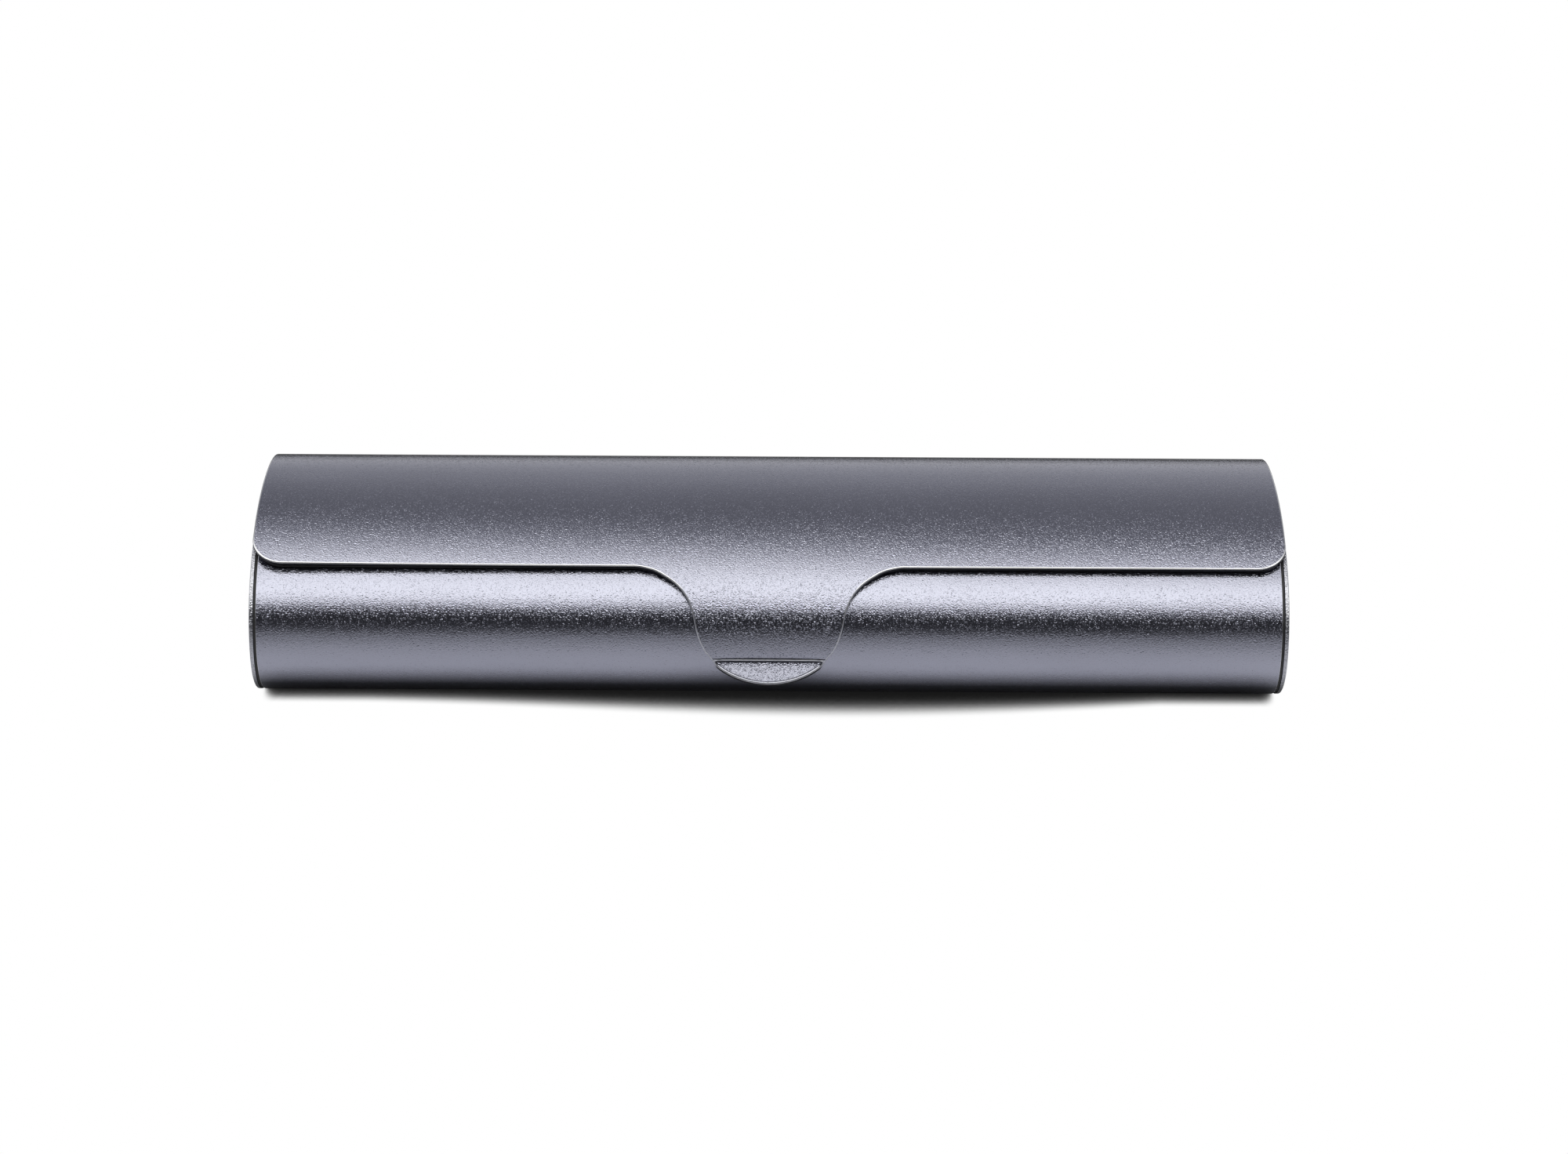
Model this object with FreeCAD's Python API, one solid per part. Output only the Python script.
import FreeCAD, Part
import math
import os

V = FreeCAD.Vector
os.makedirs("parts", exist_ok=True)

# Hard eyeglasses case: a flat oval trough of rolled aluminium sheet closed by a
# plate at each end, and a rolled lid that lies over the trough's mouth and the
# tops of the end plates.  A tongue runs down from the middle of the lid's front
# edge and ends in a finger lip.  A piano hinge joins lid and trough along the
# upper back; magnets behind the front wall hold the tongue.
#
# Millimetres.  +X along the case, -Y the front, +Z up.  The origin is the centre
# of the flat strip the case rests on.
#
# Names in _DEG are elevations of the section's outward normal:
# 0 front, 90 top, 180 back, -90 bottom.
# Names in _OUT and _IN are a layer's outer and inner offsets from the trough's
# outer face, + outwards.

# ---------------------------------------------------------------- dimensions
# trough's outer face: superellipse |y/a|^n + |z/b|^n = 1
OVAL_HALF_DEPTH = 28.6
OVAL_HALF_HEIGHT = 15.4
OVAL_EXPONENT = 2.16
FLAT_RISE = 0.30        # flat strip above the oval's lowest point
FLAT_HALF = 5.5         # half width of the flat strip
BLEND_END = 10.0        # |y| where the strip has blended back into the oval
OVAL_Z = OVAL_HALF_HEIGHT - FLAT_RISE

# lengths along X
END_OUT = 80.0          # outer face of an end plate
PLATE_T = 0.60
FLANGE_T = 0.40         # end frame's flange, between plate and sheet
PLATE_IN_X = END_OUT - PLATE_T
SHEET_END = PLATE_IN_X - FLANGE_T
LID_HALF = 79.85

# layers
SHEET_T = 0.80
LID_OUT = 1.27
LID_IN = LID_OUT - SHEET_T
BOARD_OUT = LID_IN - 0.02
BOARD_IN = 0.12
TRAY_OUT = -SHEET_T - 0.05
TRAY_IN = TRAY_OUT - 1.00
LINING_OUT = TRAY_IN - 0.05
LINING_IN = LINING_OUT - 0.90
LID_LINING_OUT = BOARD_IN - 0.04
LID_LINING_IN = LID_LINING_OUT - 1.10

# edges round the section
FRONT_TOP_DEG = 72.0    # top edge of the trough's front wall
LID_EDGE_DEG = 54.0     # front edge of the lid
HINGE_DEG = 140.0
CREASE_DEG = -12.0      # where the tongue turns out into the lip
RAIL_LOW_DEG = -8.0     # joint between front rail and liner tray
RAIL_TOP_DEG = FRONT_TOP_DEG + 3.2

# hinge; distances "from the axis" are measured along the sheet
AXIS_DEPTH = 0.30       # axis below the trough's outer face
SLOT_HALF = 1.50        # half the slot between lid edge and trough edge
KNUCKLES = 15
KNUCKLE_R = 1.30
KNUCKLE_GAP = 0.15
KNUCKLE_CLEAR = 0.15    # radial room cut in the opposite leaf
PIN_R = 0.60
PIN_BORES = (0.62, 0.65)    # radii in body and lid knuckles
PIN_INSET = 0.3         # pin end inside the hinge end
HINGE_HALF = 75.0
LEAF_T = 0.60
LEAF_REACH = 8.0        # leaf's far edge from the axis
LEAF_START = 1.0        # leaf's near edge from the axis
BODY_LEAF_OUT = -SHEET_T - 0.01
BODY_LEAF_IN = BODY_LEAF_OUT - LEAF_T
LID_LEAF_OUT = LID_IN - 0.01
LID_LEAF_IN = LID_LEAF_OUT - LEAF_T

# rivets
RIVET_AT = 5.2          # from the axis
RIVET_X = (-64.0, -32.0, 0.0, 32.0, 64.0)
RIVET_R = 0.80
RIVET_HEAD_R = 1.40
RIVET_HEAD_H = 0.45     # height of the outer and of the inner head
RIVET_SINK = 0.03       # outer head below the sheet's face
RIVET_FOOT_GAP = 0.10   # inner head beyond the leaf's inner face
RIVET_FOOT_TAPER = 0.62
RIVET_CLEAR = 0.03
RIVET_SEAT_R = RIVET_HEAD_R + RIVET_CLEAR + 0.05

# lip and tongue
LIP_BEND_R = 1.00       # outer (concave) radius of the bend
LIP_DEG = 47.0          # elevation of the lip's face
LIP_FLAT = 2.85         # straight part of the lip
LIP_ARC_R = 12.3        # the lip's rounded edge
LIP_ARC_DEG = 46.9
LIP_ARC_STEPS = 12
TONGUE_TABLE = (        # (height above the oval's centre, half width), upwards
    (-2.30, 9.03), (-1.54, 9.62), (-0.47, 10.25), (0.57, 10.70), (1.57, 11.02),
    (2.43, 11.25), (4.06, 11.60), (5.17, 11.88), (6.13, 12.22), (6.96, 12.68),
    (7.95, 13.48), (8.81, 14.55), (9.63, 16.12), (10.16, 17.42), (10.45, 18.72),
)
FILLET_X = 20.8         # where the tongue's fillet leaves the lid's front edge
LID_CORNER_R = 4.7
CORNER_STEPS = 10


# ------------------------------------------------------------------- section
# The oval is drawn as tangent circular arcs.  Each arc is (centre, radius,
# first and last normal elevation), so an offset layer is the same set of arcs
# with another radius.
def normal(deg):
    angle = math.radians(deg)
    return V(0, -math.cos(angle), math.sin(angle))


def superellipse(deg):
    """Point on the true oval where the normal has this elevation."""
    n = normal(deg)
    power = 1.0 / (OVAL_EXPONENT - 1.0)
    y = (OVAL_HALF_DEPTH * abs(n.y)) ** power
    z = (OVAL_HALF_HEIGHT * abs(n.z)) ** power
    size = (y ** OVAL_EXPONENT + z ** OVAL_EXPONENT) ** (1.0 / OVAL_EXPONENT)
    return V(0, math.copysign(OVAL_HALF_DEPTH * y / size, n.y),
             math.copysign(OVAL_HALF_HEIGHT * z / size, n.z) + OVAL_Z)


def underside_slope(y):
    """Slope of the oval's underside at this distance from its middle."""
    q = y / OVAL_HALF_DEPTH
    return (OVAL_HALF_HEIGHT / OVAL_HALF_DEPTH * q ** (OVAL_EXPONENT - 1.0)
            * (1.0 - q ** OVAL_EXPONENT) ** (1.0 / OVAL_EXPONENT - 1.0))


def two_arcs(start, start_deg, end, end_deg):
    """Two tangent arcs between two points with given normals."""
    mid_deg = 0.5 * (start_deg + end_deg)
    # the chord is start_r * turn_1 + end_r * turn_2
    turn_1 = normal(mid_deg) - normal(start_deg)
    turn_2 = normal(end_deg) - normal(mid_deg)
    chord = end - start
    det = turn_1.y * turn_2.z - turn_2.y * turn_1.z
    start_r = (chord.y * turn_2.z - turn_2.y * chord.z) / det
    end_r = (turn_1.y * chord.z - chord.y * turn_1.z) / det
    return [(start - normal(start_deg) * start_r, start_r, start_deg, mid_deg),
            (end - normal(end_deg) * end_r, end_r, mid_deg, end_deg)]


def oval_arcs():
    """All arcs, from the flat strip over front, top and back."""
    blend_deg = -90.0 + math.degrees(math.atan(underside_slope(BLEND_END)))
    degs = (blend_deg, -68.0, -54.0, -40.0, -26.0, -12.0, 0.0,
            12.0, 26.0, 40.0, 54.0, 68.0, 80.0, 90.0)
    nodes = [(V(0, -FLAT_HALF, 0), -90.0)] + [(superellipse(deg), deg) for deg in degs]
    front = []
    for start, end in zip(nodes, nodes[1:]):
        front += two_arcs(*start, *end)
    back = [(V(0, -centre.y, centre.z), radius, 180.0 - last, 180.0 - first)
            for centre, radius, first, last in reversed(front)]
    return front + back


ARCS = oval_arcs()


def layer_point(deg, offset):
    """Section point of an offset layer at this elevation."""
    centre, radius = next(arc[:2] for arc in ARCS if arc[2] - 1e-9 <= deg <= arc[3] + 1e-9)
    return centre + normal(deg) * (radius + offset)


def arc_edges(deg0, deg1, offset, x):
    """Edges along a layer between two elevations, and its end points."""
    edges, ends = [], []
    for centre, radius, first, last in ARCS:
        low, high = max(first, deg0), min(last, deg1)
        if high - low < 1e-7:
            continue
        start, middle, end = (centre + normal(deg) * (radius + offset) + V(x, 0, 0)
                              for deg in (low, 0.5 * (low + high), high))
        edges.append(Part.Arc(start, middle, end).toShape())
        ends += [start, end]
    return edges, ends[0], ends[-1]


def closed_face(edges):
    return Part.Face(Part.Wire(Part.__sortEdges__(edges)))


def arc_sheet(deg0, deg1, outer, inner, x0, x1):
    """Rolled sheet between two rising elevations."""
    out_edges, out_start, out_end = arc_edges(deg0, deg1, outer, x0)
    in_edges, in_start, in_end = arc_edges(deg0, deg1, inner, x0)
    ends = [Part.makeLine(out_start, in_start), Part.makeLine(out_end, in_end)]
    return closed_face(out_edges + in_edges + ends).extrude(V(x1 - x0, 0, 0))


def trough_edges(front_deg, rear_deg, offset, x):
    """Edges of a trough layer, and its front and rear end points."""
    front, front_low, front_top = arc_edges(-90.0, front_deg, offset, x)
    rear, rear_top, rear_low = arc_edges(rear_deg, 270.0, offset, x)
    return front + rear + [Part.makeLine(front_low, rear_low)], front_top, rear_top


def trough(front_deg, rear_deg, outer, inner, half_length):
    """Rolled sheet from the front edge under the bottom to the rear edge."""
    out_edges, out_front, out_rear = trough_edges(front_deg, rear_deg, outer, -half_length)
    in_edges, in_front, in_rear = trough_edges(front_deg, rear_deg, inner, -half_length)
    ends = [Part.makeLine(out_front, in_front), Part.makeLine(out_rear, in_rear)]
    return closed_face(out_edges + in_edges + ends).extrude(V(2 * half_length, 0, 0))


def oval_block(offset, x0, x1):
    """Solid block with the closed oval and its flat strip as section."""
    edges, start, end = arc_edges(-90.0, 270.0, offset, x0)
    return closed_face(edges + [Part.makeLine(start, end)]).extrude(V(x1 - x0, 0, 0))


def mirror_x(shape):
    return shape.mirror(V(0, 0, 0), V(1, 0, 0))


def bisect(low, high, is_below):
    """Value between low and high where is_below turns false."""
    for _ in range(60):
        middle = 0.5 * (low + high)
        if is_below(middle):
            low = middle
        else:
            high = middle
    return 0.5 * (low + high)


# ------------------------------------------------------------ hinge position
AXIS = layer_point(HINGE_DEG, -AXIS_DEPTH)
HINGE_NORMAL = normal(HINGE_DEG)
TOWARDS_TOP = V(0, -HINGE_NORMAL.z, HINGE_NORMAL.y)


def deg_from_axis(distance, offset):
    """Elevation where a layer lies this far from the axis, + towards the top."""
    return bisect(95.0, 200.0, lambda deg:
                  (layer_point(deg, offset) - AXIS).dot(TOWARDS_TOP) > distance)


LID_REAR_DEG = deg_from_axis(SLOT_HALF, LID_OUT)
BODY_REAR_DEG = deg_from_axis(-SLOT_HALF, 0.0)

# ----------------------------------------------------------------- end parts
RIM_R = 0.15
WINDOW_OFF = -6.0       # offset of the end frame's window
BOSS_GAP = 0.05
BOSS_H = 0.8
WINDOW_DEPTH = 0.55     # window's depth below the flange
FLANGE_OFF = -0.12
FRAME_OFF = TRAY_OUT + 0.02
RING_IN_X = 75.2        # inner end of the frame's ring
WEB_IN_X = 77.9         # inner face of the frame's web
END_PAD_OFF = LINING_IN - 0.15
END_PAD_X = (76.6, 77.8)


def make_end_plate():
    """Right end plate with rounded rim and a boss in the frame's window."""
    plate = oval_block(0.0, PLATE_IN_X, END_OUT)
    rim = [edge for edge in plate.Edges
           if abs(edge.BoundBox.XMin - END_OUT) < 1e-6
           and abs(edge.BoundBox.XMax - END_OUT) < 1e-6]
    plate = plate.makeFillet(RIM_R, rim)
    boss = oval_block(WINDOW_OFF - BOSS_GAP, PLATE_IN_X - BOSS_H, PLATE_IN_X)
    return plate.fuse(boss).removeSplitter()


def make_end_frame():
    """Right end frame: flange, web, and a ring reaching inwards."""
    frame = oval_block(FLANGE_OFF, SHEET_END, PLATE_IN_X)
    frame = frame.fuse(oval_block(FRAME_OFF, WEB_IN_X, SHEET_END))
    ring = oval_block(FRAME_OFF, RING_IN_X, WEB_IN_X)
    frame = frame.fuse(ring.cut(oval_block(TRAY_IN, RING_IN_X - 1, WEB_IN_X)))
    frame = frame.cut(oval_block(WINDOW_OFF, SHEET_END - WINDOW_DEPTH, PLATE_IN_X + 1))
    return frame.removeSplitter()


# ---------------------------------------------------- liner, lining and rail
TRAY_HALF = 75.1
LINING_HALF = 77.7
LINING_FRONT_DEG = 69.0

MAGNET_X = 8.0          # distance of each magnet's centre from the middle
MAGNET_HALF = 6.0       # half length
MAGNET_DEGS = (4.0, 20.0)
MAGNET_OUT = TRAY_OUT - 0.12
MAGNET_IN = TRAY_OUT - 0.92
POCKET_DEG_GAP = 0.4
POCKET_END_GAP = 0.1


def make_liner_tray():
    rear_deg = deg_from_axis(-(LEAF_REACH + 0.4), TRAY_OUT)
    return trough(RAIL_LOW_DEG - 0.6, rear_deg, TRAY_OUT, TRAY_IN, TRAY_HALF)


def make_tray_lining():
    rear_deg = deg_from_axis(-(LEAF_REACH + 0.8), LINING_OUT)
    return trough(LINING_FRONT_DEG, rear_deg, LINING_OUT, LINING_IN, LINING_HALF)


def make_rail_and_magnets():
    """Front rail capping the front wall, and the magnets in its pockets."""
    rail = arc_sheet(RAIL_LOW_DEG, RAIL_TOP_DEG, TRAY_OUT, TRAY_IN, -TRAY_HALF, TRAY_HALF)
    cap = arc_sheet(FRONT_TOP_DEG + 0.25, RAIL_TOP_DEG, -0.02, TRAY_OUT - 0.3,
                    -TRAY_HALF, TRAY_HALF)
    rail = rail.fuse(cap).removeSplitter()
    low, high = MAGNET_DEGS
    magnets = []
    for side in (-1, 1):
        x0 = side * MAGNET_X - MAGNET_HALF
        x1 = side * MAGNET_X + MAGNET_HALF
        rail = rail.cut(arc_sheet(low - POCKET_DEG_GAP, high + POCKET_DEG_GAP,
                                  MAGNET_OUT + 0.04, TRAY_IN - 0.5,
                                  x0 - POCKET_END_GAP, x1 + POCKET_END_GAP))
        magnets.append(arc_sheet(low, high, MAGNET_OUT, MAGNET_IN, x0, x1))
    return rail, Part.makeCompound(magnets)


# --------------------------------------------------------------------- hinge
def axis_cylinder(radius, x0, x1):
    return Part.makeCylinder(radius, x1 - x0, V(x0, AXIS.y, AXIS.z), V(1, 0, 0))


def make_hinge_leaves():
    """Body and lid leaves, with knuckles in turn from the left, body first."""
    body_leaf = arc_sheet(deg_from_axis(-LEAF_START, BODY_LEAF_OUT),
                          deg_from_axis(-LEAF_REACH, BODY_LEAF_OUT),
                          BODY_LEAF_OUT, BODY_LEAF_IN, -HINGE_HALF, HINGE_HALF)
    lid_leaf = arc_sheet(deg_from_axis(LEAF_REACH, LID_LEAF_OUT),
                         deg_from_axis(LEAF_START, LID_LEAF_OUT),
                         LID_LEAF_OUT, LID_LEAF_IN, -HINGE_HALF, HINGE_HALF)
    leaves = [body_leaf, lid_leaf]
    pitch = 2.0 * HINGE_HALF / KNUCKLES
    half_gap = KNUCKLE_GAP / 2
    for i in range(KNUCKLES):
        x0 = -HINGE_HALF + i * pitch
        x1 = x0 + pitch
        own, other = i % 2, 1 - i % 2
        bore = PIN_BORES[own]
        leaves[other] = leaves[other].cut(
            axis_cylinder(KNUCKLE_R + KNUCKLE_CLEAR, x0 - half_gap, x1 + half_gap))
        knuckle = axis_cylinder(KNUCKLE_R, x0 + half_gap, x1 - half_gap)
        knuckle = knuckle.cut(axis_cylinder(bore, x0 + half_gap - 1, x1 - half_gap + 1))
        leaves[own] = leaves[own].cut(axis_cylinder(bore, x0 - 1, x1 + 1)).fuse(knuckle)
    return [leaf.removeSplitter() for leaf in leaves]


def make_rivet(deg, outer, inner, x):
    """Rivet through the layers from outer to inner, and the tool for its hole."""
    origin = layer_point(deg, outer) + V(x, 0, 0)
    inwards = normal(deg) * -1.0
    depth = outer - inner

    def cone(r0, r1, height, at):
        return Part.makeCone(r0, r1, height, origin + inwards * at, inwards)

    def cylinder(radius, height, at):
        return Part.makeCylinder(radius, height, origin + inwards * at, inwards)

    head = cone(RIVET_HEAD_R, RIVET_R, RIVET_HEAD_H, RIVET_SINK)
    shank = cylinder(RIVET_R, depth + RIVET_FOOT_GAP, RIVET_SINK)
    foot = cone(RIVET_HEAD_R, RIVET_HEAD_R * RIVET_FOOT_TAPER, RIVET_HEAD_H,
                depth + RIVET_FOOT_GAP)
    rivet = head.fuse(shank).fuse(foot).removeSplitter()
    hole = cone(RIVET_SEAT_R, RIVET_R + RIVET_CLEAR, 0.50, -0.02)
    hole = hole.fuse(cylinder(RIVET_R + RIVET_CLEAR, depth + 1.0, -0.02))
    hole = hole.fuse(cylinder(RIVET_SEAT_R, 0.3, -0.30))
    return rivet, hole


def fit_rivets(sheet, leaf, deg, outer, inner):
    """Sheet and leaf with rivet holes, and the row of rivets."""
    rivets = []
    for x in RIVET_X:
        rivet, hole = make_rivet(deg, outer, inner, x)
        rivets.append(rivet)
        sheet = sheet.cut(hole)
        leaf = leaf.cut(hole)
    return sheet, leaf, Part.makeCompound(rivets)


# ------------------------------------------------------------------ lid path
# The lid's section is one path: flat lip, bend, tongue and lid.  s is measured
# along its outer face from the crease, positive up the tongue and over the top.
PATH_STEPS = 1600
PATH_DEGS = [CREASE_DEG + (LID_REAR_DEG - CREASE_DEG) * i / PATH_STEPS
             for i in range(PATH_STEPS + 1)]
PATH_POINTS = [layer_point(deg, LID_OUT) for deg in PATH_DEGS]
PATH_S = [0.0]
for start, end in zip(PATH_POINTS, PATH_POINTS[1:]):
    PATH_S.append(PATH_S[-1] + (end - start).Length)

BEND_S = LIP_BEND_R * math.radians(LIP_DEG - CREASE_DEG)
BEND_CENTRE = PATH_POINTS[0] + normal(CREASE_DEG) * LIP_BEND_R
LIP_NORMAL = normal(LIP_DEG)
LIP_ALONG = V(0, -LIP_NORMAL.z, LIP_NORMAL.y)
LIP_START = BEND_CENTRE - LIP_NORMAL * LIP_BEND_R


def path_point(s, out):
    """Section point at s, moved outwards from the lid's outer face."""
    if s >= 0.0:
        i = max(k for k in range(PATH_STEPS) if PATH_S[k] <= s)
        part = (s - PATH_S[i]) / (PATH_S[i + 1] - PATH_S[i])
        deg = PATH_DEGS[i] + part * (PATH_DEGS[i + 1] - PATH_DEGS[i])
        return layer_point(deg, LID_OUT + out)
    if s > -BEND_S:
        deg = CREASE_DEG + math.degrees(-s / LIP_BEND_R)
        return BEND_CENTRE - normal(deg) * (LIP_BEND_R - out)
    return LIP_START + LIP_ALONG * (-s - BEND_S) + LIP_NORMAL * out


def s_of_deg(deg):
    steps = (deg - CREASE_DEG) / (LID_REAR_DEG - CREASE_DEG) * PATH_STEPS
    i = min(PATH_STEPS - 1, max(0, int(steps)))
    return PATH_S[i] + (steps - i) * (PATH_S[i + 1] - PATH_S[i])


def s_of_height(z):
    """s where the tongue's outer face is at this height above the oval's centre."""
    return s_of_deg(bisect(CREASE_DEG, 89.0,
                           lambda deg: layer_point(deg, LID_OUT).z - OVAL_Z < z))


EDGE_S = s_of_deg(LID_EDGE_DEG)
TIP_S = -(BEND_S + LIP_FLAT)

# ----------------------------------------------------------------- lid sheet
BLANK_EXTRA = 0.6       # blank beyond the lip's tip
WALL_OUTS = (0.35, -SHEET_T - 0.35)     # outer and inner edges of a cutting wall


def make_lid_blank():
    """Full-width sheet along the whole lid path."""
    x = V(-LID_HALF, 0, 0)

    def bend(out):
        return Part.Arc(*(path_point(s, out) + x for s in (0.0, -BEND_S / 2, -BEND_S))).toShape()

    outer, _, outer_rear = arc_edges(CREASE_DEG, LID_REAR_DEG, LID_OUT, -LID_HALF)
    inner, _, inner_rear = arc_edges(CREASE_DEG, LID_REAR_DEG, LID_IN, -LID_HALF)
    lip_outer, lip_inner = (path_point(-BEND_S, out) + x for out in (0.0, -SHEET_T))
    tip_outer, tip_inner = (path_point(TIP_S - BLANK_EXTRA, out) + x for out in (0.0, -SHEET_T))
    edges = outer + inner + [
        Part.makeLine(outer_rear, inner_rear), bend(0.0), bend(-SHEET_T),
        Part.makeLine(lip_outer, tip_outer), Part.makeLine(lip_inner, tip_inner),
        Part.makeLine(tip_outer, tip_inner)]
    return closed_face(edges).extrude(V(2 * LID_HALF, 0, 0))


def tongue_side():
    """(x, s) points from the lip's tip up the tongue's side to the lid's edge."""
    points = []
    for i in range(LIP_ARC_STEPS + 1):
        angle = math.radians(LIP_ARC_DEG * i / LIP_ARC_STEPS)
        s = TIP_S + LIP_ARC_R - LIP_ARC_R * math.cos(angle)
        # the arc stops short of the crease, where the table takes over
        if s < -0.35:
            points.append((LIP_ARC_R * math.sin(angle), s))
    points += [(half_width, s_of_height(z)) for z, half_width in TONGUE_TABLE]
    return points + [(FILLET_X, EDGE_S)]


def lid_point(side, x, s, out):
    return path_point(s, out) + V(side * x, 0, 0)


def lid_curve(side, points, out, final_tangent):
    """Spline through (x, s) points that starts along X."""
    curve = Part.BSplineCurve()
    curve.interpolate(Points=[lid_point(side, x, s, out) for x, s in points],
                      InitialTangent=V(side, 0, 0), FinalTangent=final_tangent)
    return curve.toShape()


def make_lid_shell():
    """The blank, split by walls along the tongue, front edge and corners."""
    blank = make_lid_blank()
    tongue_points = tongue_side()
    corner_x = LID_HALF - LID_CORNER_R
    corner_points = []
    for i in range(CORNER_STEPS + 1):
        angle = math.radians(90.0 * i / CORNER_STEPS)
        corner_points.append((corner_x + LID_CORNER_R * math.sin(angle),
                              EDGE_S + LID_CORNER_R * (1 - math.cos(angle))))
    corner_s = corner_points[-1][1]
    walls = []
    for side in (1, -1):
        tongue = [lid_curve(side, tongue_points, out, V(side, 0, 0)) for out in WALL_OUTS]
        front = [Part.makeLine(lid_point(side, FILLET_X, EDGE_S, out),
                               lid_point(side, corner_x, EDGE_S, out)) for out in WALL_OUTS]
        corner = [lid_curve(side, corner_points, out,
                            path_point(corner_s + 0.5, out) - path_point(corner_s, out))
                  for out in WALL_OUTS]
        walls += [Part.makeRuledSurface(*edges) for edges in (tongue, front, corner)]
    pieces, _ = blank.generalFuse(walls)
    return max(pieces.Solids, key=lambda solid: solid.Volume)


# ------------------------------------------------------------ lid's own parts
BOARD_HALF = 79.3
BOARD_CORNER_R = 4.3
BOARD_EDGE_DEG = LID_EDGE_DEG + 0.6
CORNER_TOOL_H = 8.0
CORNER_TOOL_SIDE = BOARD_CORNER_R + 2
LID_LINING_HALF = 74.6
LID_LINING_FRONT_DEG = 79.0
KEEPER_OUT = LID_IN - 0.01
KEEPER_IN = LID_IN - 0.24
TONGUE_PAD_OUT = KEEPER_IN - 0.01
TONGUE_PAD_IN = KEEPER_IN - 0.12


def make_lid_liner_board():
    """Board under the lid; its front corners follow the lid's rounded corners."""
    rear_deg = deg_from_axis(LEAF_REACH + 0.3, BOARD_OUT)
    board = arc_sheet(BOARD_EDGE_DEG, rear_deg, BOARD_OUT, BOARD_IN, -BOARD_HALF, BOARD_HALF)
    outwards = normal(BOARD_EDGE_DEG + 5.0)
    up_board = V(0, outwards.z, -outwards.y)
    for side in (-1, 1):
        centre = (layer_point(BOARD_EDGE_DEG, BOARD_OUT)
                  + V(side * (BOARD_HALF - BOARD_CORNER_R), 0, 0)
                  + up_board * BOARD_CORNER_R - outwards * (CORNER_TOOL_H / 2))
        across = V(side * CORNER_TOOL_SIDE, 0, 0)
        down = up_board * -CORNER_TOOL_SIDE
        square = Part.makePolygon([centre, centre + across, centre + across + down,
                                   centre + down, centre])
        prism = Part.Face(square).extrude(outwards * CORNER_TOOL_H)
        rounding = Part.makeCylinder(BOARD_CORNER_R, CORNER_TOOL_H, centre, outwards)
        board = board.cut(prism.cut(rounding))
    return board


def make_lid_lining():
    rear_deg = deg_from_axis(LEAF_REACH + 0.6, LID_LINING_OUT)
    return arc_sheet(LID_LINING_FRONT_DEG, rear_deg, LID_LINING_OUT, LID_LINING_IN,
                     -LID_LINING_HALF, LID_LINING_HALF)


# ------------------------------------------------------------ build and export
end_plate = make_end_plate()
end_frame = make_end_frame()
end_pad = oval_block(END_PAD_OFF, *END_PAD_X)
front_rail, catch_magnets = make_rail_and_magnets()
body_leaf, lid_leaf = make_hinge_leaves()
body_shell, body_leaf, body_rivets = fit_rivets(
    trough(FRONT_TOP_DEG, BODY_REAR_DEG, 0.0, -SHEET_T, SHEET_END), body_leaf,
    deg_from_axis(-RIVET_AT, 0.0), 0.0, BODY_LEAF_IN)
lid_shell, lid_leaf, lid_rivets = fit_rivets(
    make_lid_shell(), lid_leaf, deg_from_axis(RIVET_AT, LID_OUT), LID_OUT, LID_LEAF_IN)

NODES = {
    "body_shell": body_shell,
    "end_plate_right": end_plate,
    "end_plate_left": mirror_x(end_plate),
    "end_frame_right": end_frame,
    "end_frame_left": mirror_x(end_frame),
    "liner_tray": make_liner_tray(),
    "tray_lining": make_tray_lining(),
    "end_pad_right": end_pad,
    "end_pad_left": mirror_x(end_pad),
    "front_rail": front_rail,
    "catch_magnets": catch_magnets,
    "hinge_leaf_body": body_leaf,
    "hinge_pin": axis_cylinder(PIN_R, -HINGE_HALF + PIN_INSET, HINGE_HALF - PIN_INSET),
    "hinge_rivets_body": body_rivets,
    "lid_shell": lid_shell,
    "lid_liner_board": make_lid_liner_board(),
    "lid_lining": make_lid_lining(),
    "hinge_leaf_lid": lid_leaf,
    "hinge_rivets_lid": lid_rivets,
    "tongue_keeper": arc_sheet(3.0, 24.0, KEEPER_OUT, KEEPER_IN, -9.0, 9.0),
    "tongue_pad": arc_sheet(3.5, 23.5, TONGUE_PAD_OUT, TONGUE_PAD_IN, -8.6, 8.6),
}
for name, shape in NODES.items():
    # a lone solid is written without its compound
    piece = shape.Solids[0] if len(shape.Solids) == 1 else shape
    piece.exportStep("parts/%s.step" % name)
